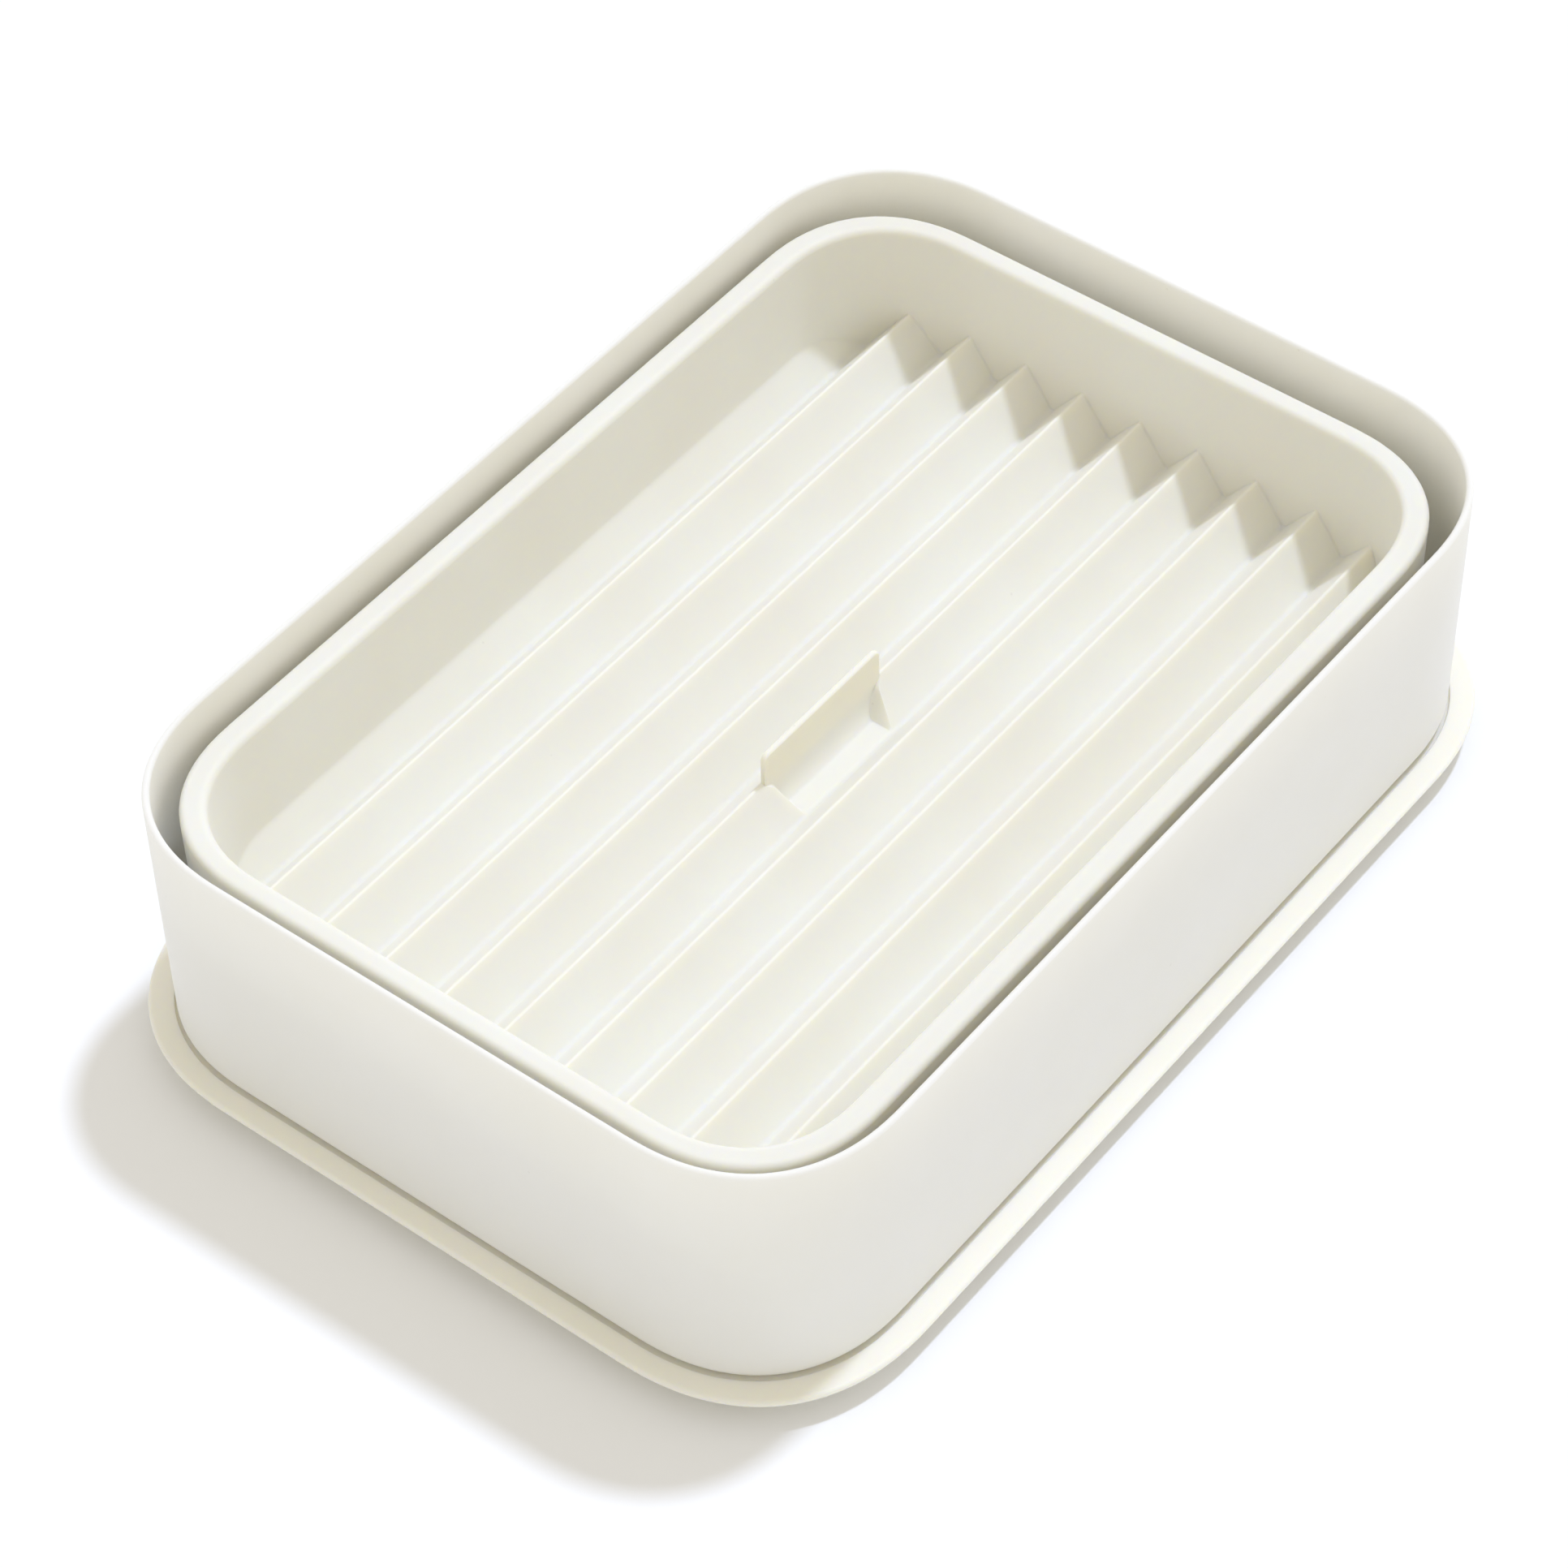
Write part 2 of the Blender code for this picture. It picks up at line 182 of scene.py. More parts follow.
def on_outline(places, outline, height):
    """Places on an outline at a height: straight share times run, plus corner share times radius."""
    width, length, corner = (np.asarray(size) for size in outline)
    x = places[0] * (width / 2 - corner) + places[2] * corner
    y = places[1] * (length / 2 - corner) + places[3] * corner
    return np.stack([x, y, np.broadcast_to(height, x.shape)], axis=-1)


PLACES = places_round()
print("places round an outline", PLACES.shape[1])

# %% [markdown]
# A moulding's section is a list of (outline, height) stops. Round edges are quarter circles of stops, and a
# stop close beside each end of a round keeps the flat next to it flat when the surface is shaded smooth. To
# carry one section round an outline gives an even wall and closed ends, with nothing to cut or join.

# %% Sections
ROUND_ROWS = 7
EDGE_GUARD = 0.00025
SHORTEST_RUN = 4 * EDGE_GUARD


def edge_round(center, height, radius, start, end, rows=ROUND_ROWS):
    """Stops round an edge: the center outline moved out by radius times cosine, up by radius times sine."""
    angles = np.radians(np.linspace(start, end, rows + 1))
    return [(grown(center, radius * math.cos(a)), height + radius * math.sin(a)) for a in angles]


def guarded(stops, *more):
    """Joins stretches of stops, with a guard stop near both ends of each straight run between them."""
    section = list(stops)
    for stretch in more:
        (outline, height), (next_outline, next_height) = section[-1], stretch[0]
        start = (outline[0] / 2, outline[1] / 2, height)
        end = (next_outline[0] / 2, next_outline[1] / 2, next_height)
        run = math.dist(start, end)
        shares = [EDGE_GUARD / run, 0.5, 1 - EDGE_GUARD / run] if run > SHORTEST_RUN else []
        for share in shares:
            between = tuple(a + (b - a) * share for a, b in zip(outline, next_outline))
            section.append((between, height + (next_height - height) * share))
        section.extend(stretch)
    return section


print("rows in an edge round", ROUND_ROWS, "and a guard of", 1000 * EDGE_GUARD, "mm")

# %% [markdown]
# A section carried round an outline is a stack of closed rows of points. Faces join each row to the next,
# and one flat face closes each end. The arrays go into the mesh whole, which is much quicker than point by
# point.

# %% Meshes


def make_object(name, points, faces):
    """A mesh from an array of points and a list of face arrays, each with one number of corners a face."""
    mesh = bpy.data.meshes.new(name)
    mesh.vertices.add(len(points))
    mesh.vertices.foreach_set("co", np.asarray(points, dtype=np.float32).ravel())
    corners = np.concatenate([block.ravel() for block in faces]).astype(np.int32)
    sizes = np.concatenate([np.full(len(block), block.shape[1]) for block in faces])
    mesh.loops.add(len(corners))
    mesh.loops.foreach_set("vertex_index", corners)
    mesh.polygons.add(len(sizes))
    mesh.polygons.foreach_set("loop_start", np.concatenate([[0], np.cumsum(sizes)[:-1]]).astype(np.int32))
    mesh.update(calc_edges=True)
    mesh.validate()
    mesh.shade_smooth()
    item = bpy.data.objects.new(name, mesh)
    bpy.context.scene.collection.objects.link(item)
    print(name, "points", len(points), "faces", len(sizes))
    return item


def bands(rows, loop):
    """Four-sided faces between neighbouring rows of a closed loop. They face out where the rows climb."""
    here = np.arange(rows * loop).reshape(rows, loop)
    after = np.roll(here, -1, axis=1)
    return np.stack([here[:-1], after[:-1], after[1:], here[1:]], axis=-1).reshape(-1, 4)


def moulding(name, section, seat):
    """A capped moulding: its section carried round the outline, with a flat face closing each end."""
    points = np.concatenate([on_outline(PLACES, outline, height) for outline, height in section])
    loop = PLACES.shape[1]
    first = np.arange(loop)[None, ::-1]
    last = np.arange(loop)[None] + (len(section) - 1) * loop
    return make_object(name, points + seat, [bands(len(section), loop), first, last])


print("faces between two rows", len(bands(2, PLACES.shape[1])))

# %% [markdown]
# The lid lies under the bin like a plinth. Its flange stands out all round, with a soft rolled lip. Inside
# the bin's footprint the panel is sunk by a millimetre, so that the foot is held, and below it a plug rim
# stands on the table. Plates and rings could be stacked for it, but one closed section says all of it
# without a seam.

# %% The lid
FOOT_EDGE = 0.0004


def lid_section():
    """Stops from the underside's middle, down and round the plug rim, out to the lip, back over the top."""
    bin_rim = (bin_width, bin_length, BIN_CORNER)
    recess = grown(bin_rim, LID_FOOT_CLEARANCE - bin_height * math.tan(BIN_DRAFT))
    plug = grown(bin_rim, -BIN_WALL - LID_PLUG_CLEARANCE)
    edge = (lid_width, lid_length, LID_CORNER)
    lip = LID_THICKNESS / 2
    flange_top = lid_height
    panel_top = flange_top - LID_RECESS
    panel_underside = panel_top - LID_THICKNESS
    inside = grown(plug, -LID_PLUG_WALL)
    return guarded(
        [(grown(inside, -LID_THICKNESS), panel_underside)],
        [(inside, panel_underside)],
        edge_round(grown(inside, FOOT_EDGE), FOOT_EDGE, FOOT_EDGE, 180, 270),
        edge_round(grown(plug, -FOOT_EDGE), FOOT_EDGE, FOOT_EDGE, -90, 0),
        [(plug, panel_underside)],
        [(grown(recess, LID_THICKNESS), panel_underside)],
        [(grown(recess, LID_THICKNESS), flange_top - LID_THICKNESS)],
        edge_round(grown(edge, -lip), flange_top - lip, lip, -90, 0),
        edge_round(grown(edge, -lip), flange_top - lip, lip, 0, 90)[1:],
        edge_round(grown(recess, FOOT_EDGE), flange_top - FOOT_EDGE, FOOT_EDGE, 90, 180),
        [(recess, panel_top)],
        [(grown(recess, -LID_THICKNESS), panel_top)],
    )


lid_seat = np.array([0.0, 0.0, LID_LOW[2]])
lid_shell = moulding("lid_shell", lid_section(), lid_seat)

# %% [markdown]
# The bin is one wall thickness all over. Its foot turns in with a soft round, its rim is a full half
# circle, and its wall leans out by less than half a degree so that it leaves the mould. A Solidify modifier
# would thicken a box, but the foot's rounds inside and outside differ here, so both faces are stops of one
# section.

# %% The bin


def bin_section():
    """Stops from the middle of the foot, out and up the wall, over the rim and down inside to the floor."""
    rim = (bin_width, bin_length, BIN_CORNER)
    foot = grown(rim, -bin_height * math.tan(BIN_DRAFT))
    lip = BIN_WALL / 2
    inner_foot = grown(foot, -BIN_WALL)
    floor = BIN_WALL
    return guarded(
        [(grown(foot, -2 * BIN_FOOT_ROUND), 0.0)],
        edge_round(grown(foot, -BIN_FOOT_ROUND), BIN_FOOT_ROUND, BIN_FOOT_ROUND, -90, 0),
        edge_round(grown(rim, -lip), bin_height - lip, lip, 0, 90),
        edge_round(grown(rim, -lip), bin_height - lip, lip, 90, 180)[1:],
        edge_round(grown(inner_foot, -BIN_INNER_ROUND), floor + BIN_INNER_ROUND, BIN_INNER_ROUND, 0, -90),
        [(grown(inner_foot, -2 * BIN_INNER_ROUND), floor)],
    )


bin_seat = np.array([0.0, 0.0, BIN_LOW[2]])
bin_shell = moulding("bin_shell", bin_section(), bin_seat)

# %% [markdown]
# The tray's floor is a sheet folded into nine ridges. Its height depends on x alone: straight slopes, a
# small round on each crest and a larger one in each valley, so the whole zigzag is one formula of the
# distance to the nearest crest. Nine extruded prisms would have to be joined; here nothing is. The sheet's
# underside is the same zigzag lowered, with smaller rounds under the crests and valley rounds a wall
# thickness larger.

# %% The pleated floor's heights
RIDGES = 9
CREST_DEPTH = 0.0298
PLEAT_SLOPE = math.radians(52.0)
PLEAT_INTO_WALL = 0.0022
CREST_ROUND = 0.0007
UNDER_CREST_ROUND = CREST_ROUND / 2
VALLEY_ROUND = 0.0013

TRAY_RIM = (tray_width, tray_length, TRAY_CORNER)
TRAY_MOUTH = grown(TRAY_RIM, -RIM_SIDE_WIDTH, -RIM_END_WIDTH)
crest_top = tray_height - CREST_DEPTH
tip_cut = 1 / math.cos(PLEAT_SLOPE) - 1


def cavity(height, outwards=0.0):
    """The inner wall's outline at a height above the tray's foot: the mouth moved in by its depth times
    each draft's tangent, and out by a distance."""
    depth = tray_height - height
    side = outwards - depth * math.tan(TRAY_SIDE_DRAFT)
    end = outwards - depth * math.tan(TRAY_END_DRAFT)
    return grown(TRAY_MOUTH, side, end)


pitch = (cavity(crest_top)[0] + 2 * PLEAT_INTO_WALL) / (RIDGES + 1)
sharp_crest = crest_top + CREST_ROUND * tip_cut
sharp_valley = sharp_crest - pitch / 2 * math.tan(PLEAT_SLOPE)
valley_bottom = sharp_valley + VALLEY_ROUND * tip_cut
sheet_drop = TRAY_WALL / math.cos(PLEAT_SLOPE)


def pleat_height(x, drop, crest_round, valley_round):
    """The zigzag lowered by a drop. d is the distance to the nearest crest and e to the nearest valley:
    the slope is the sharp crest minus d times the slope's tangent, and near a tip a circle of the tip's
    radius takes over."""
    d = np.abs(x - pitch * np.round(x / pitch))
    e = pitch / 2 - d
    slope = sharp_crest - drop - d * math.tan(PLEAT_SLOPE)
    reach = math.sin(PLEAT_SLOPE)
    crest_center = sharp_crest - drop - crest_round * (tip_cut + 1)
    crest = crest_center + np.sqrt(np.clip(crest_round**2 - d**2, 0, None))
    valley_center = sharp_valley - drop + valley_round * (tip_cut + 1)
    valley = valley_center - np.sqrt(np.clip(valley_round**2 - e**2, 0, None))
    return np.where(d < crest_round * reach, crest, np.where(e < valley_round * reach, valley, slope))


def top_height(x):
    """The upper face of the folded sheet."""
    return pleat_height(x, 0.0, CREST_ROUND, VALLEY_ROUND)


def under_height(x):
    """The lower face of the folded sheet."""
    return pleat_height(x, sheet_drop, UNDER_CREST_ROUND, VALLEY_ROUND + TRAY_WALL)


print("pitch and ridge height in mm", np.round(1000 * np.array([pitch, crest_top - valley_bottom]), 2))

# %% [markdown]
# Beside the middle ridge a finger pocket is cut down to the valley, so that a thin tab is left standing to
# lift the tray by. Its floor is level, its two ends lean back and flare at the top, and soft fillets join
# the floor and the ends to the tab's face. The fillet at the foot of the face is taller than it is wide. A
# section at one x is enough to describe the pocket: where the floor ends, and how far the leaning end has
# moved outwards at each rise above the floor.

# %% The finger pocket's ends
TAB_THICKNESS = 0.0018
TAB_HALF_WIDTH = 0.0247
POCKET_HALF = 0.0183
POCKET_LEAN = math.radians(24.5)
POCKET_FLARE_DEPTH = 0.0022
POCKET_FLOOR_STEP = 0.0003
FACE_FILLET = 0.0023
FACE_FILLET_STRETCH = 3.5
END_FILLET = 0.0022
LINE_SPREAD = 0.0007

tab_face = TAB_THICKNESS / 2
pocket_floor = valley_bottom + POCKET_FLOOR_STEP
pocket_depth = float(top_height(tab_face)) - pocket_floor
pocket_flare = TAB_HALF_WIDTH - POCKET_HALF - pocket_depth * math.tan(POCKET_LEAN)


def quarter(distance, radius):
    """What a quarter circle takes off at a distance from its end: r - sqrt(r^2 - (r - distance)^2)."""
    inside = np.clip(radius - distance, 0, radius)
    return radius - np.sqrt(radius**2 - inside**2)


def end_reach(rise):
    """How far the end stands past the floor's half: rise times the lean's tangent, and a squared flare."""
    top = np.clip((rise - pocket_depth) / POCKET_FLARE_DEPTH + 1, 0, 1)
    return rise * math.tan(POCKET_LEAN) + pocket_flare * top**2


def pocket_end(x, sheet, shares, wall=0.0):
    """The y and z of the leaning end at each x, for shares of the way up from the floor to the sheet. The
    face's fillet lifts the floor near the tab, the end's fillet pulls the end inwards there, and a wall
    grows it all. Where the sheet is low the shares are spread a little, so that their lines stay apart."""
    floor = pocket_floor - wall
    half = POCKET_HALF + wall / math.cos(POCKET_LEAN) - wall * math.tan(POCKET_LEAN)
    across = x - tab_face
    top = np.maximum(sheet - floor, 0.0)
    low = np.minimum(FACE_FILLET_STRETCH * quarter(across, FACE_FILLET) * (wall == 0), top)
    rise = low + shares * (top - low)
    pull = quarter(across, END_FILLET) * (wall == 0) * (1 - rise / pocket_depth)
    spread = LINE_SPREAD * shares * np.clip(1 - top / pocket_depth, 0, 1)
    return half + end_reach(rise) - pull + spread, np.minimum(floor + rise, sheet)


print("pocket depth and flare in mm", np.round(1000 * np.array([pocket_depth, pocket_flare]), 2))

# %% [markdown]
# The floor is a grid of lines. Lines across follow the pleats: close together on the tips, few on the
# straight slopes, and close again where the tray's corner curves in. Lines along are named by where they
# cross the tab: inside the pocket they bend, so that one of them always lies on the floor's end and one on
# the pocket's brim. Each line along stops exactly on the wall, so the wall can start from the same points.

# %% The grid's lines
FLOOR_FILLET = 0.0007
UNDER_FILLET = 0.0003
TAB_ROWS = 24
TAB_HEIGHT = 0.0100
TAB_CORNER = 0.0026
TAB_FOOT_STEP = 0.00008
CORE_HALF = 0.0400
LAST_STRETCH = (RIDGES + 0.5) / 2
WALL_SEARCH_STEPS = 12
TABLE_STEPS = 200

# Where lines lie on a tip and on a slope, and the angles whose cosines or sines crowd lines along a round.
TIP_LINES = np.linspace(-1, 1, 7)
SLOPE_SHARES = np.array([-0.27, 0.27])
FACE_FILLET_TURN = np.radians(np.arange(14, 100, 9))
TRAY_CORNER_TURN = np.radians(np.arange(0, 66, 4.5))
TAB_CORNER_TURN = np.radians(np.arange(0, 91, 15))
LEAST_INSET = EDGE_GUARD / 4
LEAST_GAP = EDGE_GUARD / 3

# Shares of the pocket's floor and of its end, steps past the tab's side, shares from the core to the wall.
POCKET_FLOOR_SHARES = np.array([0, 0.3, 0.6, 0.85, 0.96, 0.985, 1.0])
POCKET_RISE_SHARES = np.array([0.06, 0.2, 0.5, 0.8])
PAST_TAB = np.array([TAB_FOOT_STEP, 0.0004, 0.0009, 0.002, 0.005, CORE_HALF - TAB_HALF_WIDTH])
BEYOND_LINES = TAB_HALF_WIDTH + PAST_TAB
OUTER_SHARES = np.concatenate([np.linspace(0, 1, 9)[1:-1], [0.985, 1.0]])


def wall_x(height_of, fillet):
    """Where the floor meets the side wall, less a fillet: found by stepping between height and wall."""
    x = cavity(crest_top, -fillet)[0] / 2
    for _ in range(WALL_SEARCH_STEPS):
        x = cavity(height_of(x), -fillet)[0] / 2
    return float(x)


def across_lines():
    """The x of every line on the +X half, from just beside the tab's face to the wall."""
    crests = pitch * np.arange(0, RIDGES // 2 + 1)[:, None]
    valleys = crests + pitch / 2
    reach = math.sin(PLEAT_SLOPE)
    outer_lines = TIP_LINES[[0, -1]]
    crest_half, valley_half = CREST_ROUND * reach, VALLEY_ROUND * reach
    crest_lines = np.concatenate([crest_half * TIP_LINES, (crest_half + EDGE_GUARD) * outer_lines])
    valley_lines = np.concatenate([valley_half * TIP_LINES, (valley_half + EDGE_GUARD) * outer_lines])
    fillet = tab_face + FACE_FILLET * (1 - np.cos(FACE_FILLET_TURN))
    end = wall_x(top_height, FLOOR_FILLET)
    turn = end - TRAY_MOUTH[2] * (1 - np.cos(TRAY_CORNER_TURN))
    stretches = [crests + crest_lines, valleys + valley_lines, crests + SLOPE_SHARES * pitch, turn, fillet]
    lines = np.sort(np.concatenate([stretch.ravel() for stretch in stretches]))
    lines = lines[(lines > tab_face + LEAST_INSET) & (lines < end - LEAST_INSET)]
    apart = np.concatenate([[True], np.diff(lines) > LEAST_GAP])
    return np.concatenate([lines[apart], [end]])


def along_lines():
    """The lines along by their y at the tab: over the pocket's floor, and up its end to the tab's side.
    Last, each of the second kind's share of the way up, read backwards from a table of the end's own
    formula."""
    share = np.linspace(0, 1, TABLE_STEPS)
    table = pocket_end(np.array(tab_face), np.array(top_height(tab_face)), share)[0]
    floor_end = table[0]
    corner = TAB_HALF_WIDTH - TAB_CORNER * (1 - np.sin(TAB_CORNER_TURN))
    up = np.concatenate([floor_end + (corner[0] - floor_end) * POCKET_RISE_SHARES, corner])
    return floor_end * POCKET_FLOOR_SHARES, up, np.interp(up, table, share)


HALF_LINES = across_lines()
FLOOR_LINES, END_LINES, END_SHARES = along_lines()
CORE_LINES = np.concatenate([FLOOR_LINES, END_LINES, BEYOND_LINES])
print("lines across each half", len(HALF_LINES), "lines along each half", len(CORE_LINES) + len(OUTER_SHARES))

# %% [markdown]
# Each line across becomes a column of points that follows the lines along. Beside the tab the columns run
# over the pocket's floor and up its leaning end. From the valley to the next crest the lines ease back to
# straight.

# %% The floor's columns
CREASE_SMOOTHING = np.array([0.25, 0.5, 0.25])
CREASE_PASSES = 2


def softened(z, line, chosen):
    """Softens the crease along one line: it and its neighbours take the weighted mean of those beside."""
    z = z.copy()
    for _ in range(CREASE_PASSES):
        near = z[:, line - 2:line + 1], z[:, line - 1:line + 2], z[:, line:line + 3]
        soft = sum(weight * part for weight, part in zip(CREASE_SMOOTHING, near))
        z[:, line - 1:line + 2] = np.where(chosen[:, None], soft, z[:, line - 1:line + 2])
    return z


def core_columns(x, under):
    """Half the core's y and z at each x. Left of the tab and past the next crest the lines are straight,
    in the pocket they follow its end, and from the valley to the next crest they ease back."""
    sheet = under_height(x) if under else top_height(x)
    wall = TRAY_WALL if under else 0.0
    start = -tab_face / 2 if under else tab_face
    inside = np.minimum(x, pitch / 2)[:, None]
    sheet_inside = (under_height if under else top_height)(inside)
    end_y, end_z = pocket_end(inside, sheet_inside, END_SHARES, wall)
    corner_y, corner_z = pocket_end(inside, sheet_inside, np.zeros(1), wall)
    floor_y = corner_y * FLOOR_LINES / FLOOR_LINES[-1]
    brim = end_y[:, -1:]
    beyond_y = brim + (BEYOND_LINES - TAB_HALF_WIDTH) * (CORE_HALF - brim) / (CORE_HALF - TAB_HALF_WIDTH)
    bent = np.concatenate([floor_y, end_y, beyond_y], axis=1)
    depth = np.concatenate([corner_z + 0 * floor_y, end_z, sheet_inside + 0 * beyond_y], axis=1)
    ease = np.clip((x[:, None] - pitch / 2) / (pitch / 2), 0, 1)
    ease = np.where(x[:, None] < start, 1.0, ease**2 * (3 - 2 * ease))
    in_pocket = (x >= start) & (x <= pitch / 2)
    y = bent + (CORE_LINES - bent) * ease
    z = np.where(in_pocket[:, None], depth, sheet[:, None])
    return y, softened(z, len(FLOOR_LINES) - 1, in_pocket)


print("points beside the tab", core_columns(HALF_LINES, under=False)[0].shape)

# %% [markdown]
# The tab is a thin plate on the middle ridge. It could be a second mesh pushed into the ridge, but then two
# skins would cut through each other. In the grid it is a bundle of lines along the crest instead: over most
# of the tray they lie on the crest's small round, and between the tab's ends they are drawn up into the
# plate, up its -X face, over its rounded edge and down its +X face to the pocket.

# %% The tab
TAB_EDGE = 0.0008
TAB_EDGE_LIMIT_SHARE = 0.9
TAB_END_EDGE = 0.0006
LEG_SHARES = np.array([0.0, 0.03, 0.35, 0.7])


def tab_bundle():
    """The bundle's x and z on each core line. Where the tab stands it is the plate's section, with its
    top lowered by a quarter circle and its sides drawn in near the end. Beyond the end it is a strip of
    the crest."""
    before_end = TAB_HALF_WIDTH - CORE_LINES
    stands = before_end > -TAB_FOOT_STEP / 2
    half = tab_face - quarter(np.abs(before_end), TAB_END_EDGE)
    top = crest_top + TAB_HEIGHT - quarter(before_end, TAB_CORNER)
    edge = np.minimum(TAB_EDGE, TAB_EDGE_LIMIT_SHARE * half)
    turn = np.radians(np.linspace(0, 90, TAB_ROWS // 2 - len(LEG_SHARES)))[:, None]
    shoulder = top - edge
    right_foot = core_columns(np.array([tab_face]), under=False)[1][0]
    legs = [foot + (shoulder - foot) * LEG_SHARES[:, None] for foot in (top_height(half), right_foot)]
    left, right = (np.concatenate([leg, shoulder + edge * np.sin(turn)]) for leg in legs)
    outer = np.concatenate([half + 0 * legs[0], half - edge * (1 - np.cos(turn))])
    plate_x = np.concatenate([-outer, outer[::-1]])
    plate_z = np.concatenate([left, right[::-1]])
    strip_x = np.linspace(-1, 1, TAB_ROWS)[:, None] * half
    return np.where(stands, plate_x, strip_x), np.where(stands, plate_z, top_height(strip_x))


print("points on half the tab", tab_bundle()[0].shape)

# %% [markdown]
# The whole floor is the columns on both sides with the tab's bundle between them. Past the pocket every
# line runs straight on to the inner wall and stops on its curved corner. The half beyond y = 0 is made, and
# then mirrored.

# %% The whole floor


def line_ends(x, height, fillet):
    """How far each line along reaches before the wall, and its end's place on the wall's outline."""
    width, length, corner = cavity(height, -fillet)
    across, along = width / 2 - corner, length / 2 - corner
    into = np.clip((np.abs(x) - across) / corner, 0, 1)
    rise = corner_height(into)
    place = np.stack([np.clip(x / across, -1, 1), np.ones_like(x), np.sign(x) * into, rise])
    return along + corner * rise, place


def mirrored(half):
    """A half from y = 0 outwards, made whole with its mirror image and one shared middle line."""
    return np.concatenate([half[:, :0:-1], half], axis=1)


def floor_grid(under):
    """The floor's upper or lower face as a grid of points, and the places of its edge round the wall."""
    height_of = under_height if under else top_height
    fillet = UNDER_FILLET if under else FLOOR_FILLET
    start = pitch * LAST_STRETCH
    end = wall_x(height_of, fillet)
    stretched = start + (HALF_LINES - start) * (end - start) / (HALF_LINES[-1] - start)
    side = np.where(HALF_LINES > start, stretched, HALF_LINES)
    bundle = np.linspace(-1, 1, TAB_ROWS) * tab_face
    x = np.concatenate([-side[::-1], bundle, side])
    core_y, core_z = core_columns(x, under)
    reach, place = line_ends(x, height_of(x), fillet)
    outer_y = CORE_HALF + (reach[:, None] - CORE_HALF) * OUTER_SHARES
    sheet = height_of(x)[:, None] + 0 * outer_y
    half_x = x[:, None] + np.zeros((1, core_y.shape[1] + outer_y.shape[1]))
    half_z = np.concatenate([core_z, sheet], axis=1)
    if not under:
        rows, columns = slice(len(side), len(side) + TAB_ROWS), slice(0, len(CORE_LINES))
        half_x[rows, columns], half_z[rows, columns] = tab_bundle()
        core_y[rows] = CORE_LINES
    half_y = np.concatenate([core_y, outer_y], axis=1)
    y = np.concatenate([-half_y[:, :0:-1], half_y], axis=1)
    return np.stack([mirrored(half_x), y, mirrored(half_z)], axis=-1), place


UPPER, UPPER_PLACE = floor_grid(under=False)
LOWER, LOWER_PLACE = floor_grid(under=True)
print("floor grid", UPPER.shape, "lowest and highest in mm",
      np.round(1000 * UPPER[..., 2].min(), 2), np.round(1000 * UPPER[..., 2].max(), 2))

# %% [markdown]
# Everything else of the tray is one band that starts at the floor's edge. It turns up through a small
# fillet, climbs the inner wall, rolls over the rim, runs down the skirt to its foot, back up inside it,
# across under the rim, down the hidden side of the inner wall, round the wall's lower end and in to the
# sheet's underside. The band has one column for each point on the floor's edge, so all of it joins into one
# closed skin.

# %% The floor's edge
FILLET_ROWS = 4
FILLET_SEARCH_STEPS = 6


def edge_loop(grid):
    """A grid's edge, counter-clockwise seen from above."""
    return np.concatenate([grid[:-1, 0], grid[-1, :-1], grid[:0:-1, -1], grid[0, :0:-1]])


def edge_places(grid, place, fillet):
    """Places of a grid's edge round the wall: the ends' own, and on the sides the share of the run."""
    ends_low = place * np.array([1, -1, 1, -1])[:, None]
    width, length, corner = cavity(grid[0, 0, 2], -fillet)
    run = grid[-1, :, 1] / (length / 2 - corner)
    run = np.clip(run / np.abs(run).max(), -1, 1)
    side = np.stack([np.ones_like(run), run, np.ones_like(run), np.zeros_like(run)])
    other = side * np.array([-1, 1, -1, 1])[:, None]
    pieces = [ends_low[:, :-1], side[:, :-1], place[:, :0:-1], other[:, :0:-1]]
    return np.concatenate(pieces, axis=1)


def fillet_rows(edge, places, height_of, lift):
    """Rows of a soft corner between floor and wall: a curve from the floor's edge, drawn towards the
    corner where floor and wall meet, to the wall a little above or below it."""
    height = edge[:, 2]
    for _ in range(FILLET_SEARCH_STEPS):
        corner = on_outline(places, cavity(height), height)
        height = height_of(corner[:, 0])
    corner[:, 2] = height
    wall = on_outline(places, cavity(height + lift), height + lift)
    shares = np.linspace(0, 1, FILLET_ROWS + 2)[1:, None, None]
    return (1 - shares) ** 2 * edge + 2 * shares * (1 - shares) * corner + shares**2 * wall


UPPER_EDGE_PLACES = edge_places(UPPER, UPPER_PLACE, FLOOR_FILLET)
LOWER_EDGE_PLACES = edge_places(LOWER, LOWER_PLACE, UNDER_FILLET)
RISE = fillet_rows(edge_loop(UPPER), UPPER_EDGE_PLACES, top_height, FLOOR_FILLET)
FALL = fillet_rows(edge_loop(LOWER), LOWER_EDGE_PLACES, under_height, -UNDER_FILLET)
print("columns round the floor's edge", RISE.shape[1])

# %% [markdown]
# Between the two fillets the band is a section again, from the inner wall's top to its lower end. It starts
# on the upper edge's places and finishes on the lower edge's, which differ a little, so it passes slowly
# from one set to the other.

# %% The tray's walls
WALL_BELOW_FLOOR = 0.0010
HIDDEN_ROWS = 3
CLIMB_SHARES = np.array([0.03, 0.35, 0.7, 0.99])


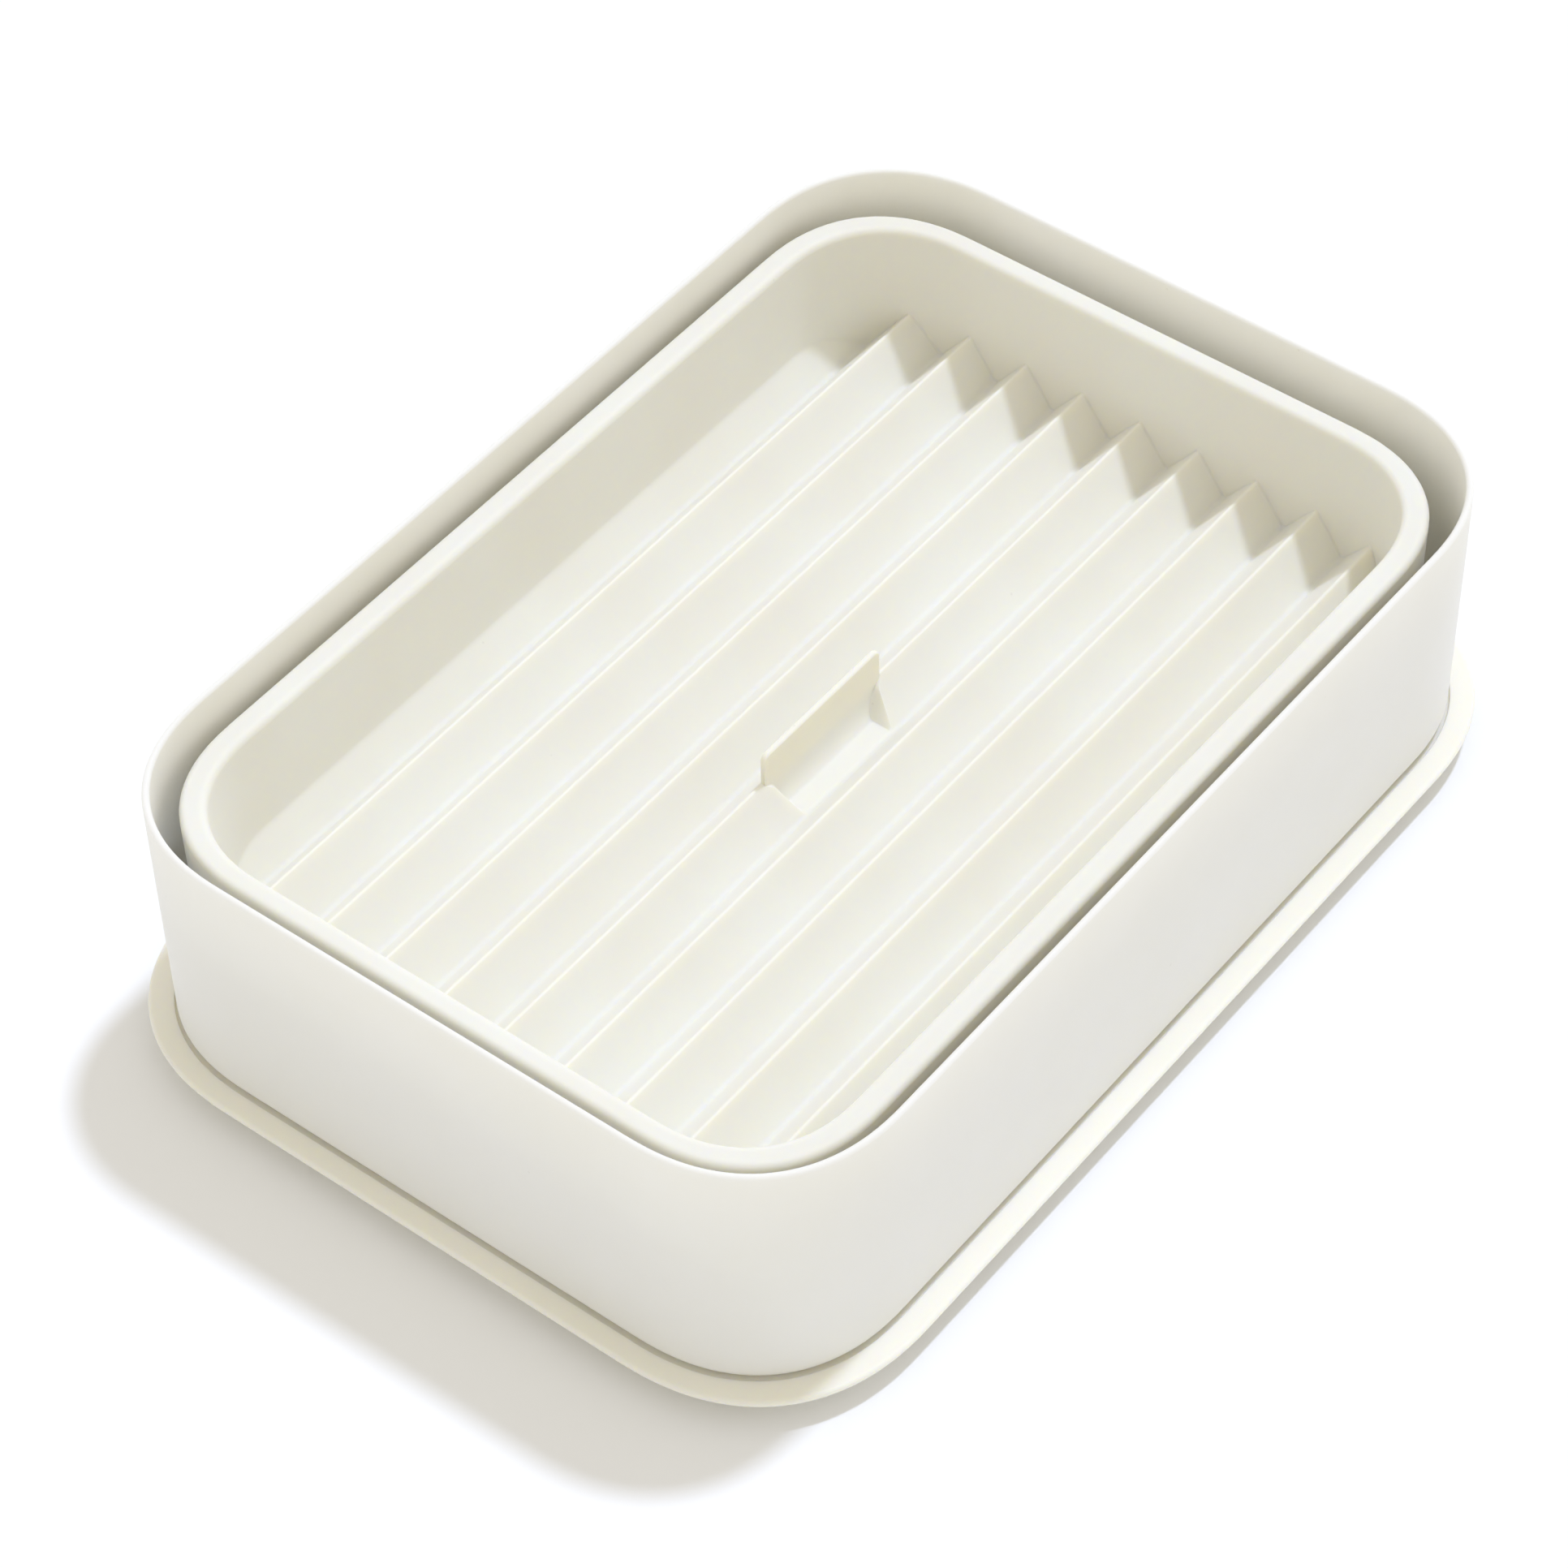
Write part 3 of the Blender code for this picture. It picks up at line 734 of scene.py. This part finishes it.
def tray_band():
    """All rows between the floor's upper and lower edges."""
    wall_end = valley_bottom - TRAY_WALL - WALL_BELOW_FLOOR
    skirt_foot = grown(TRAY_RIM, -tray_height * math.tan(SKIRT_DRAFT))
    skirt_inside = grown(skirt_foot, -SKIRT_FOOT)
    channel_top = tray_height - TRAY_WALL
    inner_center, inner_height = grown(TRAY_MOUTH, RIM_INNER_ROUND), tray_height - RIM_INNER_ROUND
    outer_center, outer_height = grown(TRAY_RIM, -RIM_OUTER_ROUND), tray_height - RIM_OUTER_ROUND
    hidden_center, visible_center = cavity(wall_end, TRAY_WALL - FOOT_EDGE), cavity(wall_end, FOOT_EDGE)
    end_height = wall_end + FOOT_EDGE
    section = guarded(
        edge_round(inner_center, inner_height, RIM_INNER_ROUND, 180, 90),
        edge_round(outer_center, outer_height, RIM_OUTER_ROUND, 90, 0),
        edge_round(grown(skirt_foot, -FOOT_EDGE), FOOT_EDGE, FOOT_EDGE, 0, -90, HIDDEN_ROWS),
        edge_round(grown(skirt_inside, FOOT_EDGE), FOOT_EDGE, FOOT_EDGE, -90, -180, HIDDEN_ROWS),
        [(skirt_inside, channel_top)],
        [(cavity(channel_top, TRAY_WALL), channel_top)],
        edge_round(hidden_center, end_height, FOOT_EDGE, 0, -90, HIDDEN_ROWS),
        edge_round(visible_center, end_height, FOOT_EDGE, -90, -180, HIDDEN_ROWS),
    )
    turn = np.linspace(0, 1, len(section))[:, None, None]
    high = np.stack([on_outline(UPPER_EDGE_PLACES, outline, height) for outline, height in section])
    low = np.stack([on_outline(LOWER_EDGE_PLACES, outline, height) for outline, height in section])
    middle = high + (low - high) * turn
    climb = RISE[-1] + (middle[0] - RISE[-1]) * CLIMB_SHARES[:, None, None]
    return np.concatenate([RISE, climb, middle, FALL[::-1]])


BAND = tray_band()
print("rows in the band", len(BAND))

# %% [markdown]
# The floor's two faces and the band share their edges, so their points are numbered once and the faces
# between them close the skin. That makes the tray one solid wall, as it is moulded.

# %% The tray's skin


def tray_faces(shape, rows, loop):
    """Faces of the upper grid, of the lower grid seen from below, and of the band between both edges."""
    count = shape[0] * shape[1]
    grid = np.arange(count).reshape(shape)
    quads = np.stack([grid[:-1, :-1], grid[1:, :-1], grid[1:, 1:], grid[:-1, 1:]], axis=-1).reshape(-1, 4)
    edge = edge_loop(grid)
    band = 2 * count + np.arange(rows * loop).reshape(rows, loop)
    rings = np.concatenate([edge[None], band, edge[None] + count])
    after = np.roll(rings, -1, axis=1)
    walls = np.stack([after[:-1], rings[:-1], rings[1:], after[1:]], axis=-1).reshape(-1, 4)
    return [quads, quads[:, ::-1] + count, walls]


tray_seat = np.array([(TRAY_LOW[0] + TRAY_HIGH[0]) / 2, (TRAY_LOW[1] + TRAY_HIGH[1]) / 2, TRAY_LOW[2]])
tray_points = np.concatenate([UPPER.reshape(-1, 3), LOWER.reshape(-1, 3), BAND.reshape(-1, 3)])
tray_skin = tray_faces(UPPER.shape[:2], *BAND.shape[:2])
tray_moulding = make_object("tray_moulding", tray_points + tray_seat, tray_skin)

# %% [markdown]
# A material is a graph of nodes. A small class keeps its lines short: it adds a node, and sets or links the
# inputs.

# %% Nodes


def linear(red, green, blue):
    """A colour given as 0 to 255 on screen, as the shader needs it: the screen's own curve undone, so a
    straight part near black and a power of 2.4 above it."""
    value = np.array([red, green, blue]) / 255
    return (*np.where(value <= 0.04045, value / 12.92, ((value + 0.055) / 1.055) ** 2.4), 1.0)


class Nodes:
    """A short way to add nodes and links to one material."""

    def __init__(self, name):
        self.material = bpy.data.materials.new(name)
        self.material.use_nodes = True
        self.tree = self.material.node_tree
        self.shader = self.tree.nodes["Principled BSDF"]

    def add(self, kind, settings=(), **inputs):
        """A node with its settings. Each input is a value, or another node's output to link."""
        node = self.tree.nodes.new(kind)
        for key, value in dict(settings).items():
            setattr(node, key, value)
        for key, value in inputs.items():
            socket = node.inputs[key.replace("_", " ")]
            if isinstance(value, bpy.types.NodeSocket):
                self.tree.links.new(value, socket)
            else:
                socket.default_value = value
        return node

    def noise(self, place, size, detail):
        """Soft noise whose patches are about one size across."""
        node = self.add("ShaderNodeTexNoise", Vector=place, Scale=1 / size, Detail=detail)
        return node.outputs["Fac"]

    def ramp(self, value, low, high, bottom=0.0, top=1.0):
        """A value stretched from low and high to bottom and top, and held there outside them."""
        node = self.add("ShaderNodeMapRange")
        self.tree.links.new(value, node.inputs["Value"])
        for key, number in zip(("From Min", "From Max", "To Min", "To Max"), (low, high, bottom, top)):
            node.inputs[key].default_value = number
        return node.outputs["Result"]

    def mix(self, factor, first, second):
        """The first colour at factor 0, the second at factor 1."""
        node = self.add("ShaderNodeMix", {"data_type": "RGBA"})
        self.tree.links.new(factor, node.inputs["Factor"])
        for name, value in (("A", first), ("B", second)):
            if isinstance(value, bpy.types.NodeSocket):
                self.tree.links.new(value, node.inputs[name])
            else:
                node.inputs[name].default_value = value
        return node.outputs["Result"]


print("middle grey as the shader has it", np.round(linear(128, 128, 128), 3))

# %% [markdown]
# All three mouldings are a warm off-white plastic with a soft satin skin. Light passes a few millimetres
# into it, farther in the bin than in the other two, so a wall glows where it is lit from behind and shadows
# are soft. What else tells it from paint is small: a very fine grain, a slow change of tone where the melt
# ran, a few faint specks, and edges that are a little paler. A painted picture could hold all that, but it
# would stretch over the pleats, so each is a noise or an edge mask read in real millimetres.

# %% Plastic
GRAIN_SIZE = 0.0006
GRAIN_DEPTH = 0.00005
GRAIN_DETAIL = 2.0
FLOW_SIZE = 0.045
FLOW_DETAIL = 3.0
FLOW_RANGE = (0.35, 0.65)
SPECK_SPACING = 0.016
SPECK_RADIUS_SHARE = 0.018
SPECK_SOFT_SHARE = 1.6
EDGE_RANGE = (0.52, 0.60)
SHEEN_SIZE = FLOW_SIZE / 6
SHEEN_DETAIL = 4.0
SHEEN_RANGE = (0.3, 0.7)
SHEEN_CHANGE = 0.03
PLASTIC_IOR = 1.46
PLASTIC_SPECULAR = 0.4
GLOW_SHARE = 0.85
BIN_GLOW = np.array([0.0034, 0.0033, 0.0031])
TRAY_GLOW = np.array([0.0020, 0.0018, 0.0010])

PALE = linear(242, 240, 231)
PALE_SHADE = linear(240, 238, 228)
TRAY_PALE = linear(243, 241, 230)
TRAY_SHADE = linear(241, 238, 226)
SPECK = linear(235, 232, 222)
LID_ROUGHNESS = 0.58
LID_GRAIN = 0.35
BIN_ROUGHNESS = 0.58
BIN_GRAIN = 0.40
TRAY_ROUGHNESS = 0.62
TRAY_GRAIN = 0.25


def moulded_plastic(name, color, shade, glow, roughness, grain):
    """Satin plastic: flow marks between two tones, faint specks, paler edges and a fine grain as bump."""
    nodes = Nodes(name)
    place = nodes.add("ShaderNodeTexCoord").outputs["Object"]
    flow = nodes.ramp(nodes.noise(place, FLOW_SIZE, FLOW_DETAIL), *FLOW_RANGE)
    tone = nodes.mix(flow, shade, color)
    cells = nodes.add("ShaderNodeTexVoronoi", Vector=place, Scale=1 / SPECK_SPACING).outputs["Distance"]
    clear = nodes.ramp(cells, SPECK_RADIUS_SHARE, SPECK_RADIUS_SHARE * SPECK_SOFT_SHARE)
    speckled = nodes.mix(clear, SPECK, tone)
    # Convex edges, found by pointiness, take the plain paler colour, without specks or flow tone.
    edge = nodes.ramp(nodes.add("ShaderNodeNewGeometry").outputs["Pointiness"], *EDGE_RANGE)
    edge_paled = nodes.mix(edge, speckled, color)
    fine = nodes.noise(place, GRAIN_SIZE, GRAIN_DETAIL)
    patches = nodes.noise(place, SHEEN_SIZE, SHEEN_DETAIL)
    rough = nodes.ramp(patches, *SHEEN_RANGE, roughness - SHEEN_CHANGE, roughness + SHEEN_CHANGE)
    bump = nodes.add("ShaderNodeBump", Height=fine, Strength=grain, Distance=GRAIN_DEPTH)
    shader = nodes.shader
    nodes.tree.links.new(edge_paled, shader.inputs["Base Color"])
    nodes.tree.links.new(rough, shader.inputs["Roughness"])
    nodes.tree.links.new(bump.outputs["Normal"], shader.inputs["Normal"])
    shader.inputs["IOR"].default_value = PLASTIC_IOR
    shader.inputs["Specular IOR Level"].default_value = PLASTIC_SPECULAR
    shader.inputs["Subsurface Weight"].default_value = GLOW_SHARE
    shader.inputs["Subsurface Scale"].default_value = glow[0]
    shader.inputs["Subsurface Radius"].default_value = glow / glow[0]
    return nodes.material


lid_finish = moulded_plastic("lid_finish", PALE, PALE_SHADE, TRAY_GLOW, LID_ROUGHNESS, LID_GRAIN)
bin_finish = moulded_plastic("bin_finish", PALE, PALE_SHADE, BIN_GLOW, BIN_ROUGHNESS, BIN_GRAIN)
tray_finish = moulded_plastic("tray_finish", TRAY_PALE, TRAY_SHADE, TRAY_GLOW, TRAY_ROUGHNESS, TRAY_GRAIN)
print("materials", [m.name for m in (lid_finish, bin_finish, tray_finish)])

# %% [markdown]
# Each new moulding takes the place of its imported node, rides on the same body and is given its own finish.
# Its mesh already stands where the node does, so nothing is moved.

# %% Put the pieces in the frame
for piece, node, body, slot, material in (
    (lid_shell, "base_lid", "base", "lid_plastic", lid_finish),
    (bin_shell, "bin", "bin", "bin_plastic", bin_finish),
    (tray_moulding, "insert_tray", "tray", "tray_plastic", tray_finish),
):
    piece.data.materials.append(material)
    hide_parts(node)
    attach(piece, body)
    print(piece.name, "rides on", body)

# %% [markdown]
# The light is a high, fairly small lamp behind the +Y end, so the rim throws a shadow on the ends of the
# ridges, and an even pale room fills the rest. The lamp is a little cool and the plastic a little warm, so
# faces that the lamp reaches look neutral and shaded ones turn yellowish, more so with each bounce of the
# light.

# %% Lamp
KEY_ELEVATION = math.radians(66.7)
KEY_AZIMUTH = math.radians(-5.0)
KEY_STRENGTH = 1.6
KEY_ANGLE = math.radians(5.0)
KEY_COLOR = (0.69, 0.775, 1.0)


def add_key():
    """A distant lamp. Unturned it shines straight down; the turn tips it over towards the +Y end."""
    data = bpy.data.lights.new("key_light", "SUN")
    data.energy = KEY_STRENGTH
    data.angle = KEY_ANGLE
    data.color = KEY_COLOR
    lamp = bpy.data.objects.new("key_light", data)
    lamp.rotation_euler = (math.pi / 2 - KEY_ELEVATION, 0.0, math.pi + KEY_AZIMUTH)
    bpy.context.scene.collection.objects.link(lamp)
    print("lamp", KEY_STRENGTH, "at", round(math.degrees(KEY_ELEVATION), 1), "degrees above the table")


add_key()

# %% [markdown]
# The room is one plain colour from all sides. It could be a sky or a ring of lamps, but those light some
# sides more than others, and this object stands in soft light from everywhere. The camera is shown pure
# white instead, so that nothing but the object and its shadow is seen.

# %% Room
ROOM_STRENGTH = 0.73
ROOM_COLOR = (1.0, 0.966, 0.918, 1.0)
PLAIN_WHITE = (1.0, 1.0, 1.0, 1.0)


def add_room():
    """An even pale room that lights the object at one level. The camera and reflections see plain white."""
    world = bpy.data.worlds.new("room")
    world.use_nodes = True
    tree = world.node_tree
    path = tree.nodes.new("ShaderNodeLightPath")
    seen = path.outputs["Is Camera Ray"]
    for kind in ("Is Glossy Ray", "Is Transmission Ray"):
        either = tree.nodes.new("ShaderNodeMath")
        either.operation = "MAXIMUM"
        tree.links.new(seen, either.inputs[0])
        tree.links.new(path.outputs[kind], either.inputs[1])
        seen = either.outputs["Value"]
    color = tree.nodes.new("ShaderNodeMix")
    color.data_type = "RGBA"
    color.inputs["A"].default_value = tuple(ROOM_STRENGTH * value for value in ROOM_COLOR)
    color.inputs["B"].default_value = PLAIN_WHITE
    tree.links.new(seen, color.inputs["Factor"])
    tree.links.new(color.outputs["Result"], tree.nodes["Background"].inputs["Color"])
    bpy.context.scene.world = world
    print("room at", ROOM_STRENGTH)


add_room()

# %% [markdown]
# The ground is one large white sheet. It lies a tenth of a millimetre under the lid's foot, so that the two
# faces never share a plane, and it keeps the object's soft shadow.

# %% Floor
FLOOR_HALF = 4.0
FLOOR_GAP = 0.0001
SHEET_COLOR = linear(252, 252, 250)
SHEET_ROUGHNESS = 0.9


def add_floor():
    """A white sheet just under the lid's foot."""
    corner = np.array([[-1, -1, 0], [1, -1, 0], [1, 1, 0], [-1, 1, 0]]) * FLOOR_HALF
    floor = make_object("floor", corner + [0, 0, LID_LOW[2] - FLOOR_GAP], [np.array([[0, 1, 2, 3]])])
    nodes = Nodes("white_sheet")
    nodes.shader.inputs["Base Color"].default_value = SHEET_COLOR
    nodes.shader.inputs["Roughness"].default_value = SHEET_ROUGHNESS
    floor.data.materials.append(nodes.material)


add_floor()
bpy.context.scene.view_settings.view_transform = "Standard"
